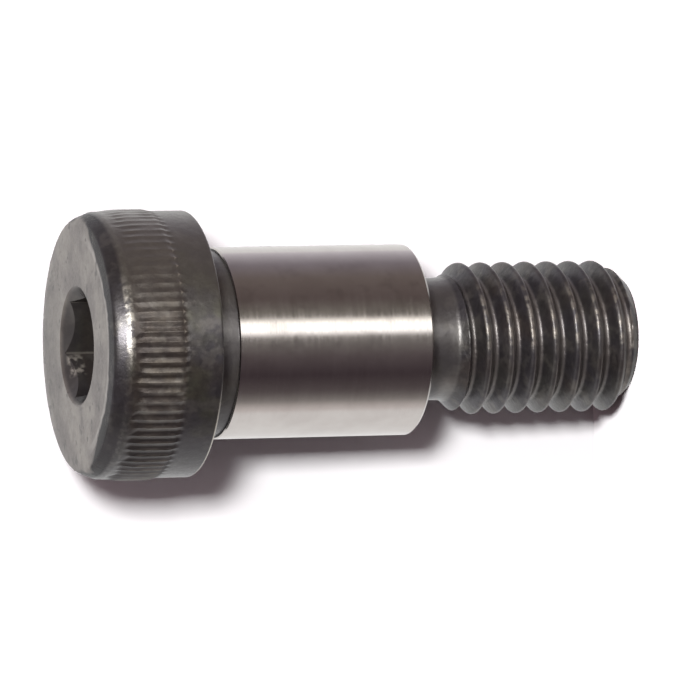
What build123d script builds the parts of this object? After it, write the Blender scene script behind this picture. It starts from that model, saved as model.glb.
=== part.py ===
from build123d import *
import os
from math import ceil, radians, tan

os.makedirs("parts", exist_ok=True)

# Socket head shoulder bolt, turned and rolled from one bar. Sizes are in millimetres.
# The origin is the centre of the seat face, the ring at the thread end of the shoulder that clamps
# down when the bolt is tightened. +Z points to the head, and the thread lies below the origin.

# ---- Driving dimensions -------------------------------------------------------------------------

inch = 25.4

# Shoulder, a ground pin
shoulder_diameter = 15.8
shoulder_length = 19.05  # bearing face under the head to seat face
shoulder_edge_chamfer = 0.2

# Neck under the head, where the grinding wheel runs out
head_neck_undercut = 0.25  # below the shoulder, on the radius
head_neck_width = 2.3

# Head
head_diameter = 21.9  # plain band beside the knurl
head_height = 9.2
corner_width = 0.6  # rounded corner, on the radius
corner_drop = 1.15  # rounded corner, along the axis
corner_radius = 2.5
crown_width = 1.35  # shallow crown between the corner and the flat face
crown_drop = 0.12
bearing_edge_chamfer = 0.2

# Straight knurl round the head
ridge_count = 84
ridge_height = 0.16  # above the plain band
groove_depth = 0.22  # below the ridges
groove_angle = 90.0
knurl_start = 1.6  # below the face
knurl_length = 4.8
knurl_end_slope = 0.45  # length over which the ridges' ends fall to the plain band

# Hexagon socket
socket_across_flats = 7.94
socket_depth = 6.2
socket_turn = 37.6  # from +X round to a corner of the hexagon
socket_mouth_margin = 0.32  # countersink beyond the hexagon's corners, on the radius
socket_mouth_angle = 90.0
socket_bottom_angle = 118.0

# Thread, right-hand
threads_per_inch = 13
thread_diameter = 12.6
thread_length = 19.05  # seat face to tip
thread_depth = 1.13
thread_angle = 60.0
thread_root_width = 0.42
thread_turn = 258.0  # direction of the crest about the axis, at the tip
tip_undercut = 0.5  # tip face below the thread's root, on the radius
tip_slope = 45.0

# Neck between the shoulder and the thread
thread_neck_undercut = 0.12  # below the thread's root, on the radius
thread_neck_width = 3.1
lead_in_slope = 45.0

# ---- Worked-out sizes ---------------------------------------------------------------------------

shoulder_radius = shoulder_diameter / 2
head_neck_radius = shoulder_radius - head_neck_undercut
head_neck_end = shoulder_length - head_neck_width

head_top = shoulder_length + head_height
head_radius = head_diameter / 2
crown_radius = head_radius - corner_width
face_radius = crown_radius - crown_width
ridge_radius = head_radius + ridge_height
knurl_top = head_top - knurl_start
knurl_bottom = knurl_top - knurl_length
groove_half_width = groove_depth * tan(radians(groove_angle / 2))

socket_corner_radius = socket_across_flats / 3**0.5
socket_mouth_radius = socket_corner_radius + socket_mouth_margin

pitch = inch / threads_per_inch
thread_radius = thread_diameter / 2
root_radius = thread_radius - thread_depth
flank_width = thread_depth * tan(radians(thread_angle / 2))
crest_width = pitch - thread_root_width - 2 * flank_width
thread_neck_radius = root_radius - thread_neck_undercut
tip_radius = root_radius - tip_undercut

# ---- Thread ridge -------------------------------------------------------------------------------

# The ridge climbs by one pitch in each turn, from one pitch below the tip to past the neck. Its foot
# is sunk a little into the core, so that the two join cleanly.
ridge_sink = thread_root_width / 4
ridge_foot_radius = root_radius - ridge_sink
ridge_foot_width = crest_width + 2 * (thread_depth + ridge_sink) * tan(radians(thread_angle / 2))
ridge_start = -thread_length - pitch
ridge_turns = ceil((thread_length - thread_neck_width) / pitch) + 2
ridge_corners = [  # radius, and height from the middle of the ridge
    (ridge_foot_radius, -ridge_foot_width / 2),
    (thread_radius, -crest_width / 2),
    (thread_radius, crest_width / 2),
    (ridge_foot_radius, ridge_foot_width / 2),
]


def corner_helices(turn):
    """The right-hand helices that the ridge's corners follow through one of its turns."""
    return [
        Edge.make_helix(pitch, pitch, radius).moved(
            Location((0, 0, ridge_start + turn * pitch + height), (0, 0, thread_turn))
        )
        for radius, height in ridge_corners
    ]


def ridge_end(turn, share):
    """The ridge's cross-section as a flat face, part of the way through a turn."""
    corners = [helix.position_at(share) for helix in corner_helices(turn)]
    return Face(Wire.make_polygon(corners, close=True))


# Each face of the ridge is ruled from one corner's helix to the next one's.
ridge_faces = [ridge_end(0, 0), ridge_end(ridge_turns - 1, 1)]
for turn in range(ridge_turns):
    helices = corner_helices(turn)
    for lower, upper in zip(helices, helices[1:] + helices[:1]):
        ridge_faces.append(Face.make_surface_from_curves(lower, upper))
thread_ridge = Solid(Shell(Face.sew_faces(ridge_faces)[0]))

# ---- Shoulder bolt ------------------------------------------------------------------------------

with BuildPart() as shoulder_bolt:
    # The threaded end: a core and the ridge, cut to a sloped tip and a sloped lead-in at the neck.
    with Locations((0, 0, -thread_length)):
        Cylinder(root_radius, thread_length, align=(Align.CENTER, Align.CENTER, Align.MIN))
    add(thread_ridge)
    with BuildSketch(Plane.XZ):
        with BuildLine():
            margin = 2 * thread_depth
            lead_in_height = margin / tan(radians(lead_in_slope))
            tip_height = margin / tan(radians(tip_slope))
            Polyline(
                (0, -thread_neck_width),
                (thread_neck_radius, -thread_neck_width),
                (thread_neck_radius + margin, -thread_neck_width - lead_in_height),
                (tip_radius + margin, tip_height - thread_length),
                (tip_radius, -thread_length),
                (0, -thread_length),
                close=True,
            )
        make_face()
    revolve(axis=Axis.Z, mode=Mode.INTERSECT)

    # The blank above it is one half-section turned about the axis, from the face down to the neck.
    with BuildSketch(Plane.XZ):
        with BuildLine():
            face = Line((0, head_top), (face_radius, head_top))
            crown = TangentArc(face @ 1, (crown_radius, head_top - crown_drop), tangent=face % 1)
            corner = RadiusArc(crown @ 1, (head_radius, head_top - corner_drop), corner_radius)
            Polyline(
                corner @ 1,
                (ridge_radius, knurl_top),
                (ridge_radius, knurl_bottom),
                (head_radius, knurl_bottom - knurl_end_slope),
                (head_radius, shoulder_length + bearing_edge_chamfer),
                (head_radius - bearing_edge_chamfer, shoulder_length),
                (head_neck_radius, shoulder_length),
                (head_neck_radius, head_neck_end),
                (shoulder_radius - shoulder_edge_chamfer, head_neck_end),
                (shoulder_radius, head_neck_end - shoulder_edge_chamfer),
                (shoulder_radius, shoulder_edge_chamfer),
                (shoulder_radius - shoulder_edge_chamfer, 0),
                (thread_neck_radius, 0),
                (thread_neck_radius, -thread_neck_width),
                (0, -thread_neck_width),
                face @ 0,
            )
        make_face()
    revolve(axis=Axis.Z)

    # The straight knurl is a ring of V grooves along the axis, with a plain band at each end.
    with BuildSketch(Plane.XY.offset(knurl_top)):
        with PolarLocations(ridge_radius - groove_depth, ridge_count):
            Polygon(
                (0, 0),
                (2 * groove_depth, 2 * groove_half_width),
                (2 * groove_depth, -2 * groove_half_width),
                align=None,
            )
    extrude(amount=-knurl_length, mode=Mode.SUBTRACT)

    # The hexagon socket has a countersunk mouth, and the drill's cone at its bottom.
    with BuildSketch(Plane.XY.offset(head_top)):
        RegularPolygon(socket_corner_radius, side_count=6, rotation=socket_turn)
    extrude(amount=-socket_depth, mode=Mode.SUBTRACT)
    with Locations((0, 0, head_top)):
        Cone(
            bottom_radius=0,
            top_radius=socket_mouth_radius,
            height=socket_mouth_radius / tan(radians(socket_mouth_angle / 2)),
            align=(Align.CENTER, Align.CENTER, Align.MAX),
            mode=Mode.SUBTRACT,
        )
    with Locations((0, 0, head_top - socket_depth)):
        Cone(
            bottom_radius=0,
            top_radius=socket_across_flats / 2,
            height=socket_across_flats / 2 / tan(radians(socket_bottom_angle / 2)),
            align=(Align.CENTER, Align.CENTER, Align.MAX),
            mode=Mode.SUBTRACT,
        )

shoulder_bolt.part.label = "shoulder_bolt"
export_step(shoulder_bolt.part, "parts/shoulder_bolt.step")
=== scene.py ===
"""Shoulder bolt: the looks of a socket head shoulder bolt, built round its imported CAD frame.

The bolt stands on its thread end. It is one closed skin, which replaces the CAD node: a black oxide
head with a straight knurl and a hexagon socket, a ground shoulder, and a rolled right-hand thread.
Sizes are written in millimetres and turned into metres where Blender gets them, but for the lamp's.
"""

import logging
from dataclasses import dataclass, field
from enum import Enum

import bpy
import numpy as np
from mathutils import Matrix, Vector

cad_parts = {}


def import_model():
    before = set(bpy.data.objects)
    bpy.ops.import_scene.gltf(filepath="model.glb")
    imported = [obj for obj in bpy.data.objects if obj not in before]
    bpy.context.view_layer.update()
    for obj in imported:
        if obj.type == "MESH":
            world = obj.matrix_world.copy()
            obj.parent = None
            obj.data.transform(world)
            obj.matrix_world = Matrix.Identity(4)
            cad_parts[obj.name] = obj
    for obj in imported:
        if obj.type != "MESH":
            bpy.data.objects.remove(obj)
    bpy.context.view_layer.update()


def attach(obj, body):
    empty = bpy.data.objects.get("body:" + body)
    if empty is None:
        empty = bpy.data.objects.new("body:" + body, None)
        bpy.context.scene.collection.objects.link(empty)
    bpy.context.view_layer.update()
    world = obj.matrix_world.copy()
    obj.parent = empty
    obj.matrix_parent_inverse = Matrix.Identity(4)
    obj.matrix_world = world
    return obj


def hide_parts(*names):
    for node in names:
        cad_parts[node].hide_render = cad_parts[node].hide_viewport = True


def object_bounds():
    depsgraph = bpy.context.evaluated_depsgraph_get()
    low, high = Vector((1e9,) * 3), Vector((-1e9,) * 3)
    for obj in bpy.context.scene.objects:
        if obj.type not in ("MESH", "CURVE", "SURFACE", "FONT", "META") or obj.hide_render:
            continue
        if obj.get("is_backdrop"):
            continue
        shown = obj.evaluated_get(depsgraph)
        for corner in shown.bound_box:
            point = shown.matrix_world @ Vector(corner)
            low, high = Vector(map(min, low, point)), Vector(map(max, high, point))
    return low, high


NODE = "shoulder_bolt"
BODY = "root"
METRES = 0.001  # one millimetre
INCH = 25.4

log = logging.getLogger("shoulder_bolt")


class Zone(Enum):
    """Which finish a stretch of the skin has, as its material slot."""

    OXIDE = 0
    GROUND = 1


# ---- Small helpers ------------------------------------------------------------------------------


def linear(code: str) -> tuple[float, float, float, float]:
    """Turn an sRGB hex colour into linear light.

    Args:
        code: Six hex digits after a hash.

    Returns:
        Red, green, blue and an alpha of one.
    """
    srgb = np.array([int(code[i : i + 2], 16) for i in (1, 3, 5)]) / 255
    light = np.where(srgb <= 0.04045, srgb / 12.92, ((srgb + 0.055) / 1.055) ** 2.4)
    return (*light.tolist(), 1.0)


def smooth_step(value: np.ndarray, low: float, high: float) -> np.ndarray:
    """Rise from 0 at low to 1 at high with level ends: 3 t squared less 2 t cubed."""
    share = np.clip((value - low) / (high - low), 0, 1)
    return share * share * (3 - 2 * share)


def soft_max(a: np.ndarray, b: np.ndarray | float, blend: float) -> np.ndarray:
    """The larger of a and b, rounded where they cross by the hyperbola of the given width."""
    return (a + b + np.sqrt((a - b) ** 2 + blend**2)) / 2


def soft_min(a: np.ndarray, b: np.ndarray | float, blend: float) -> np.ndarray:
    """The smaller of a and b, rounded where they cross by the hyperbola of the given width."""
    return (a + b - np.sqrt((a - b) ** 2 + blend**2)) / 2


def add_node(
    tree: bpy.types.NodeTree,
    kind: str,
    inputs: dict | None = None,
    stops: list[tuple[float, str]] | None = None,
    **settings: object,
) -> bpy.types.Node:
    """Add a node with its settings and links.

    Args:
        tree: Node tree to add to.
        kind: Blender's name for the node.
        inputs: For each input, a socket to link from or a value to set.
        stops: Position and hex colour of each stop, for a colour ramp.
        **settings: Properties of the node.

    Returns:
        The new node.
    """
    made = tree.nodes.new(kind)
    for name, value in settings.items():
        setattr(made, name, value)
    for key, value in (inputs or {}).items():
        if isinstance(value, bpy.types.NodeSocket):
            tree.links.new(value, made.inputs[key])
        else:
            made.inputs[key].default_value = value
    if stops:
        elements = made.color_ramp.elements
        while len(elements) < len(stops):
            elements.new(1.0)
        for element, (position, code) in zip(elements, stops):
            element.position = position
            element.color = linear(code)
    return made


# ---- Skin ---------------------------------------------------------------------------------------


@dataclass
class Skin:
    """One closed surface made of rings about the Z axis, from the socket's bottom to the tip."""

    start_degrees: float
    points: list[np.ndarray] = field(default_factory=list)
    quads: list[np.ndarray] = field(default_factory=list)
    triangles: list[np.ndarray] = field(default_factory=list)
    quad_zones: list[np.ndarray] = field(default_factory=list)
    triangle_zones: list[np.ndarray] = field(default_factory=list)
    ring: np.ndarray | None = None
    count: int = 0

    def angles(self, columns: int) -> np.ndarray:
        """Directions of a ring's points, in radians from +X."""
        return np.radians(self.start_degrees) + np.arange(columns) * 2 * np.pi / columns

    def grid(self, radius: np.ndarray, height: np.ndarray, columns: int, zone: Zone) -> None:
        """Add rings, joined to each other and to the last ring before them.

        A point is at (radius cos angle, radius sin angle, height). Radius and height are
        functions of the row, the column or both.

        Args:
            radius: In millimetres, in a shape that spreads to (rows, columns).
            height: In millimetres, likewise.
            columns: Points in each ring.
            zone: The finish of the new faces.
        """
        shape = np.broadcast_shapes(np.shape(radius), np.shape(height), (1, columns))
        radius, height = np.broadcast_to(radius, shape), np.broadcast_to(height, shape)
        angle = self.angles(columns)
        x, y = radius * np.cos(angle), radius * np.sin(angle)
        self.points.append(np.stack([x, y, height], axis=-1).reshape(-1, 3))
        index = self.count + np.arange(shape[0] * columns).reshape(shape)
        self.count += index.size
        if self.ring is not None:
            self._join(self.ring, index[0], zone)
        upper, lower = index[:-1], index[1:]
        faces = np.stack([upper, lower, np.roll(lower, -1, 1), np.roll(upper, -1, 1)], axis=-1)
        self._keep(faces.reshape(-1, 4), zone)
        self.ring = index[-1]

    def pole(self, height: float, zone: Zone) -> None:
        """Close the skin with a point on the axis, before its first ring or after its last one.

        Args:
            height: In millimetres.
            zone: The finish of the new faces.
        """
        self.points.append(np.array([[0.0, 0.0, height]]))
        if self.ring is None:
            self.ring = np.array([self.count])
        else:
            tip = np.full(len(self.ring), self.count)
            self._keep(np.stack([tip, np.roll(self.ring, -1), self.ring], axis=-1), zone)
        self.count += 1

    def _join(self, upper: np.ndarray, lower: np.ndarray, zone: Zone) -> None:
        """Fill between two rings, of which one may have a whole number of times more points.

        Args:
            upper: Point numbers of the ring nearer the start of the skin.
            lower: Point numbers of the next ring.
            zone: The finish of the new faces.
        """
        if len(upper) == 1:
            first = np.full(len(lower), upper[0])
            self._keep(np.stack([first, lower, np.roll(lower, -1)], axis=-1), zone)
            return
        if len(upper) == len(lower):
            faces = [upper, lower, np.roll(lower, -1), np.roll(upper, -1)]
            self._keep(np.stack(faces, axis=-1), zone)
            return
        # Each stretch of the coarse ring is a fan from its first end, one triangle across, and a
        # fan from its second end.
        narrows = len(upper) > len(lower)
        fine, coarse = (upper, lower) if narrows else (lower, upper)
        ratio = len(fine) // len(coarse)
        half = ratio // 2
        ends = np.stack([coarse, np.roll(coarse, -1)], axis=-1)
        here = fine.reshape(-1, ratio)
        after = np.roll(fine, -1).reshape(-1, ratio)
        near = np.repeat(ends[:, :1], half, 1)
        far = np.repeat(ends[:, 1:], ratio - half, 1)
        corner = np.concatenate([near, far], axis=1)
        if narrows:
            fans = np.stack([here, corner, after], axis=-1)
            across = np.stack([here[:, half], ends[:, 0], ends[:, 1]], axis=-1)
        else:
            fans = np.stack([corner, here, after], axis=-1)
            across = np.stack([ends[:, 0], here[:, half], ends[:, 1]], axis=-1)
        self._keep(fans.reshape(-1, 3), zone)
        self._keep(across, zone)

    def _keep(self, faces: np.ndarray, zone: Zone) -> None:
        """Store faces of three or four corners with their zone.

        Args:
            faces: Point numbers, one face to a row.
            zone: The finish of these faces.
        """
        if faces.shape[1] == 4:
            self.quads.append(faces)
            self.quad_zones.append(np.full(len(faces), zone.value))
        else:
            self.triangles.append(faces)
            self.triangle_zones.append(np.full(len(faces), zone.value))

    def mesh(self, name: str, sharp_degrees: float) -> bpy.types.Mesh:
        """Put the arrays into a Blender mesh, in metres.

        Args:
            name: Name of the mesh.
            sharp_degrees: Edges that turn by more than this stay sharp.

        Returns:
            The mesh, with each face's finish as its material index.
        """
        points = np.concatenate(self.points) * METRES
        quads, triangles = np.concatenate(self.quads), np.concatenate(self.triangles)
        corners = np.concatenate([quads.ravel(), triangles.ravel()])
        sizes = np.concatenate([np.full(len(quads), 4), np.full(len(triangles), 3)])
        starts = np.concatenate([[0], np.cumsum(sizes)[:-1]])
        mesh = bpy.data.meshes.new(name)
        mesh.vertices.add(len(points))
        mesh.vertices.foreach_set("co", points.ravel())
        mesh.loops.add(len(corners))
        mesh.loops.foreach_set("vertex_index", corners.astype(np.int32))
        mesh.polygons.add(len(sizes))
        mesh.polygons.foreach_set("loop_start", starts.astype(np.int32))
        zones = np.concatenate(self.quad_zones + self.triangle_zones)
        mesh.polygons.foreach_set("material_index", zones.astype(np.int32))
        mesh.update(calc_edges=True)
        mesh.validate()
        mesh.shade_smooth()
        mesh.set_sharp_from_angle(angle=np.radians(sharp_degrees))
        return mesh


# ---- The bolt's shapes --------------------------------------------------------------------------


@dataclass(frozen=True)
class Socket:
    """Hexagon socket for a key, with a countersunk mouth and a drilled bottom."""

    across_flats: float = 7.94
    depth: float = 6.2
    turn_degrees: float = 37.6
    mouth_margin: float = 0.32
    drill_point_degrees: float = 118.0
    drill_rings: tuple[float, float] = (0.12, 0.97)  # the last stops short of the flats' middles

    @property
    def mouth_radius(self) -> float:
        """Outer radius of the countersink."""
        return self.across_flats / np.sqrt(3) + self.mouth_margin

    def add_to(self, skin: Skin, top: float, columns: int) -> None:
        """Add the socket's inside, from the drill's point up to the mouth.

        The wall's radius in a direction is half the width across flats, divided by the cosine of
        the direction's angle from the middle of its flat. The countersink is a 90 degree cone, so
        it meets the wall lower in the middle of a flat than at a corner.

        Args:
            skin: Skin to add to.
            top: Height of the head's face.
            columns: Points in each ring, a multiple of six.
        """
        flat = self.across_flats / 2
        sixth = np.pi / 3
        turned = (skin.angles(columns) - np.radians(self.turn_degrees)) % sixth - sixth / 2
        wall = (flat / np.cos(turned))[None]
        floor = top - self.depth
        point = flat / np.tan(np.radians(self.drill_point_degrees / 2))
        skin.pole(floor - point, Zone.OXIDE)
        share = np.linspace(*self.drill_rings, 5)[:, None]
        skin.grid(flat * share, floor - point * (1 - share), columns, Zone.OXIDE)
        meets = top - (self.mouth_radius - wall)
        rise = np.linspace(0, 1, 9)[:, None]
        skin.grid(wall, floor + (meets - floor) * rise, columns, Zone.OXIDE)
        share = np.linspace(0.12, 1, 6)[:, None]
        radius = wall + (self.mouth_radius - wall) * share
        skin.grid(radius, meets + (top - meets) * share, columns, Zone.OXIDE)


@dataclass(frozen=True)
class Knurl:
    """Straight knurl round the head, crisp on one side and worn smoother on the rest."""

    ridges: int = 84
    start: float = 1.6
    length: float = 4.55
    swell: float = 0.16
    groove_depth: float = 0.14
    root_power: float = 1.4
    swell_rise: float = 1.9  # length over which the metal swells, below the start
    crisp_degrees: float = 222.0
    crisp_spread: tuple[float, float] = (32.0, 70.0)  # degrees to either side, full and gone
    worn_share: float = 0.7
    end_share: float = 0.6  # of the depth that the ridges' lower ends keep all round

    def wear(self, angle: np.ndarray, drop: np.ndarray) -> np.ndarray:
        """Share of the groove's depth that is left.

        It is whole on the crisp side, less elsewhere with waves for patches, and never little at
        the ridges' lower ends.

        Args:
            angle: Directions in radians, one to a column.
            drop: Distances below the face, one to a row.

        Returns:
            Shares, rows by columns.
        """
        away = np.abs((angle - np.radians(self.crisp_degrees) + np.pi) % (2 * np.pi) - np.pi)
        left = 1 - self.worn_share * smooth_step(away, *np.radians(self.crisp_spread))
        patches = 0.12 * np.sin(7 * angle + 1.9 * drop) + 0.1 * np.sin(17 * angle - 2.6 * drop + 1)
        end = self.start + self.length
        kept = self.end_share * smooth_step(drop, end - 0.9, end - 0.3)
        return np.clip(np.maximum(left + patches * (1 - 0.5 * left), kept), 0.05, 1)

    def add_to(self, skin: Skin, top: float, band: float, columns: int) -> None:
        """Add the knurled stretch.

        The metal swells over the ridges. A groove's depth falls from its middle to the ridges by the
        distance across it to a power, which rounds its root and leaves the ridges pointed. Sine
        waves make the upper ends of the grooves ragged.

        Args:
            skin: Skin to add to.
            top: Height of the head's face.
            band: Radius of the plain band beside the knurl.
            columns: Points in each ring.
        """
        drop = np.linspace(self.start, self.start + self.length + 0.25, 27)[:, None]
        angle = skin.angles(columns)[None]
        end = self.start + self.length
        swell = smooth_step(drop, self.start, self.start + self.swell_rise)
        swell = swell * (1 - smooth_step(drop, end - 0.7, end + 0.2))
        spacing = 2 * np.pi / self.ridges
        turned = angle - angle[:, :1]
        across = ((turned + spacing / 2) % spacing - spacing / 2) / (spacing / 2)
        wave = 1 - np.abs(across) ** self.root_power
        ragged = 0.16 * np.sin(23 * angle) + 0.1 * np.sin(41 * angle + 2)
        cut = smooth_step(drop + ragged, self.start + 0.15, self.start + 0.75)
        cut = cut * (1 - smooth_step(drop, end - 0.12, end + 0.16))
        depth = self.groove_depth * self.wear(angle, drop) * cut
        skin.grid(band + self.swell * swell - depth * wave, top - drop, columns, Zone.OXIDE)


@dataclass(frozen=True)
class Head:
    """Round head: flat face, shallow crown, rounded corner, knurl, plain band and bearing face."""

    diameter: float = 21.9
    height: float = 9.2
    face_radius: float = 9.0
    crown_radius: float = 10.28
    crown_drop: float = 0.1
    corner_drop: float = 1.4
    crown_handle: tuple[float, float] = (0.24, 0.06)  # outward and down from the crown's edge
    side_handle: tuple[float, float] = (0.23, 0.45)  # inward and up from the corner's end
    bearing_edge: float = 0.2  # radius of the rounded edge
    socket: Socket = field(default_factory=Socket)
    knurl: Knurl = field(default_factory=Knurl)

    def add_to(self, skin: Skin, bearing: float, columns: int, knurl_columns: int) -> None:
        """Add the head, from the socket's bottom to the inner edge of the bearing face.

        The corner is a cubic Bezier curve from the crown's edge to the side. It leaves the crown
        almost flat, steepens, and meets the side.

        Args:
            skin: Skin to add to.
            bearing: Height of the bearing face.
            columns: Points in each plain ring.
            knurl_columns: Points in each ring of the knurl.
        """
        top, side = bearing + self.height, self.diameter / 2
        self.socket.add_to(skin, top, columns)
        radius = np.linspace(self.socket.mouth_radius + 0.05, self.face_radius, 14)[:, None]
        skin.grid(radius, np.array([[top]]), columns, Zone.OXIDE)
        share = np.linspace(0.15, 0.9, 5)[:, None]
        reach = self.crown_radius - self.face_radius
        skin.grid(self.face_radius + reach * share, top - self.crown_drop * share**2, columns, Zone.OXIDE)
        t = np.linspace(0, 1, 15)[:, None]
        weights = [(1 - t) ** 3, 3 * t * (1 - t) ** 2, 3 * t**2 * (1 - t), t**3]
        (out, down), (back, up) = self.crown_handle, self.side_handle
        radii = (self.crown_radius, self.crown_radius + out, side - back, side)
        drops = (self.crown_drop, self.crown_drop + down, self.corner_drop - up, self.corner_drop)
        radius = sum(w * r for w, r in zip(weights, radii))
        drop = sum(w * d for w, d in zip(weights, drops))
        skin.grid(radius, top - drop, columns, Zone.OXIDE)
        self.knurl.add_to(skin, top, side, knurl_columns)
        height = np.linspace(top - self.knurl.start - self.knurl.length - 0.45, bearing + 0.32, 7)
        skin.grid(np.array([[side]]), height[:, None], columns, Zone.OXIDE)
        turn = np.linspace(0, np.pi / 2, 5)[:, None]
        edge = self.bearing_edge
        height = bearing + edge - edge * np.sin(turn)
        skin.grid(side - edge + edge * np.cos(turn), height, columns, Zone.OXIDE)


@dataclass(frozen=True)
class Shoulder:
    """Ground pin between two necks."""

    diameter: float = 15.8
    length: float = 19.05
    chamfer: float = 0.2  # at the seat face
    neck_chamfer: float = 0.1
    neck_undercut: float = 0.25
    neck_width: float = 2.3
    neck_fillet: float = 0.15

    def add_to(self, skin: Skin, columns: int) -> None:
        """Add the neck under the head and the ground pin, down to the seat face at height 0.

        Args:
            skin: Skin to add to.
            columns: Points in each ring.
        """
        radius = self.diameter / 2
        neck, end = radius - self.neck_undercut, self.length - self.neck_width
        fillet = self.neck_fillet
        turn = np.linspace(0, np.pi / 2, 5)[:, None]
        height = self.length - fillet + fillet * np.cos(turn)
        skin.grid(neck + fillet - fillet * np.sin(turn), height, columns, Zone.OXIDE)
        skin.grid(np.array([[neck]]), np.linspace(self.length - 0.4, end, 6)[:, None], columns, Zone.OXIDE)
        skin.grid(np.array([[radius - self.neck_chamfer]]), np.array([[end]]), columns, Zone.OXIDE)
        height = np.linspace(end - self.neck_chamfer, self.chamfer, 12)[:, None]
        skin.grid(np.array([[radius]]), height, columns, Zone.GROUND)
        skin.grid(np.array([[radius - self.chamfer]]), np.array([[0.0]]), columns, Zone.GROUND)


@dataclass(frozen=True)
class Thread:
    """Rolled right-hand thread below its neck, with a sloped tip."""

    per_inch: int = 13
    diameter: float = 12.6
    length: float = 19.05
    depth: float = 1.13
    flank_degrees: float = 60.0
    crest_share: float = 0.5  # of the two roundings together, the rest being the root's
    turn_degrees: float = 258.0
    neck_undercut: float = 0.12
    neck_width: float = 3.25
    neck_blend: float = 0.35
    neck_fillet: float = 0.15
    lead_in_blend: float = 0.08
    tip_undercut: float = 0.5
    tip_blend: float = 0.1
    tip_edge: float = 0.12
    rows_per_pitch: int = 38

    @property
    def pitch(self) -> float:
        """Distance from crest to crest."""
        return INCH / self.per_inch

    def form(self, along: np.ndarray) -> np.ndarray:
        """Radius of the thread at a distance along the axis from a crest.

        The crest and the root are arcs that turn into straight flanks. An arc of radius r leaves
        its flank at r cos(half) along the axis and r (1 - sin(half)) across it, half being half the
        angle between the flanks, so the two radii together follow from the pitch and the depth.

        Args:
            along: Distances, up to half a pitch either way.

        Returns:
            Radii in millimetres.
        """
        half = np.radians(self.flank_degrees / 2)
        slope = np.tan(half)
        both = (self.pitch / 2 - self.depth * slope) / (np.cos(half) - slope * (1 - np.sin(half)))
        crest, root = both * self.crest_share, both * (1 - self.crest_share)
        away = np.abs(along)
        back = self.pitch / 2 - away
        top, bottom = self.diameter / 2, self.diameter / 2 - self.depth
        leaves = crest * np.cos(half)
        flank = top - crest * (1 - np.sin(half)) - (away - leaves) / slope
        over = top - crest + np.sqrt(np.maximum(crest**2 - away**2, 0))
        under = bottom + root - np.sqrt(np.maximum(root**2 - back**2, 0))
        return np.where(away < leaves, over, np.where(back < root * np.cos(half), under, flank))

    def surface(self, height: np.ndarray, angle: np.ndarray) -> np.ndarray:
        """Radius of the thread at a height and a direction.

        The distance along the axis from the nearest crest falls by one pitch in each right-hand
        turn. The surface stays under a cone at the neck, with a hollow at its foot, and under
        another cone at the tip.

        Args:
            height: Heights, one to a row.
            angle: Directions, one to a column.

        Returns:
            Radii in millimetres, rows by columns.
        """
        climb = (angle - np.radians(self.turn_degrees)) / (2 * np.pi) * self.pitch
        along = (height + self.length - climb + self.pitch / 2) % self.pitch - self.pitch / 2
        root = self.diameter / 2 - self.depth
        neck = root - self.neck_undercut + soft_max(-self.neck_width - height, 0.0, self.neck_blend)
        below = soft_min(self.form(along), neck, self.lead_in_blend)
        return soft_min(below, root - self.tip_undercut + (height + self.length), self.tip_blend)

    def add_to(self, skin: Skin, columns: int) -> None:
        """Add the seat face, the neck, the thread and the tip.

        Args:
            skin: Skin to add to.
            columns: Points in each ring.
        """
        angle = skin.angles(columns)[None]
        neck = self.diameter / 2 - self.depth - self.neck_undercut
        fillet = self.neck_fillet
        skin.grid(np.array([[neck + fillet]]), np.array([[0.0]]), columns, Zone.OXIDE)
        turn = np.linspace(0.3, np.pi / 2, 4)[:, None]
        skin.grid(neck + fillet - fillet * np.sin(turn), -fillet + fillet * np.cos(turn), columns, Zone.OXIDE)
        height = np.linspace(-0.4, -self.neck_width + 1.3, 4)[:, None]
        skin.grid(self.surface(height, angle), height, columns, Zone.OXIDE)
        bottom = -self.length + self.tip_edge
        start = -self.neck_width + 1.1
        rows = int((start - bottom) / self.pitch * self.rows_per_pitch)
        height = np.linspace(start, bottom, rows)[:, None]
        skin.grid(self.surface(height, angle), height, columns, Zone.OXIDE)
        last = self.surface(np.array([[bottom]]), angle)
        turn = np.linspace(0.4, np.pi / 2, 4)[:, None]
        edge = self.tip_edge
        skin.grid(last - edge * (1 - np.cos(turn)), bottom - edge * np.sin(turn), columns, Zone.OXIDE)
        skin.grid((last - edge) * 0.5, np.array([[-self.length]]), columns, Zone.OXIDE)
        skin.pole(-self.length, Zone.OXIDE)


# ---- Finishes -----------------------------------------------------------------------------------


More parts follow.
